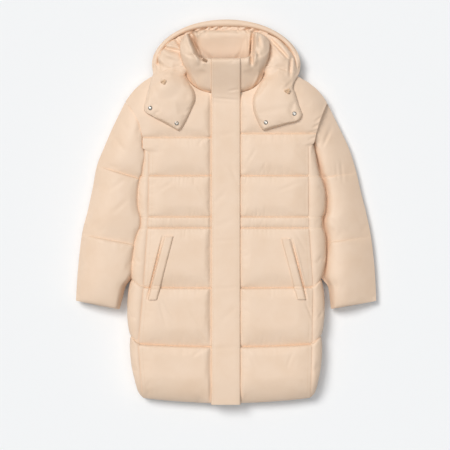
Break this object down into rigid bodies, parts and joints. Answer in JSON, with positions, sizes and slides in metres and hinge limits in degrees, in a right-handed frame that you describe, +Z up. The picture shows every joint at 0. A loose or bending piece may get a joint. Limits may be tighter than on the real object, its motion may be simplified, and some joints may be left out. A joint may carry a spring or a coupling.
{
  "type": "hooded quilted down coat",
  "caption": "Thigh-length quilted down coat with a hood, stand collar, storm placket over a zip and slanted welt pockets, laid flat with its front up.",
  "frame": {"origin": "middle of the coat's outline, on the surface that its back lies on", "axes": "+X towards the wearer's left, +Y from the hem to the hood, +Z up from the surface, out of the front"},
  "size_m": [0.9052, 1.156, 0.1228],
  "materials": {
    "shell": "soft matt nylon taffeta",
    "trim": "soft matt nylon taffeta, topstitched",
    "stud_metal": "satin nickel plate",
    "zip_coil": "matt moulded coil on woven tape",
    "cord": "braided cord"
  },
  "bodies": {
    "root": {"back": "shell", "front_right": "shell", "front_left": "shell", "side_right": "shell", "side_left": "shell", "sleeve_right_top": "shell", "sleeve_right_under": "shell", "sleeve_left_top": "shell", "sleeve_left_under": "shell", "collar": "shell", "hood_crown": "shell", "hood_side_right": "shell", "hood_side_left": "shell", "placket": "trim", "welt_right": "trim", "welt_left": "trim", "hood_brim": "trim", "zip_slider": "stud_metal", "zip_pull": "stud_metal", "stud_right_outer": "stud_metal", "stud_right_inner": "stud_metal", "stud_left_outer": "stud_metal", "stud_left_inner": "stud_metal", "eyelet_right": "stud_metal", "eyelet_left": "stud_metal", "zip_chain": "zip_coil", "zip_end": "zip_coil", "cord_knot_right": "cord", "cord_knot_left": "cord"}
  },
  "joints": []
}
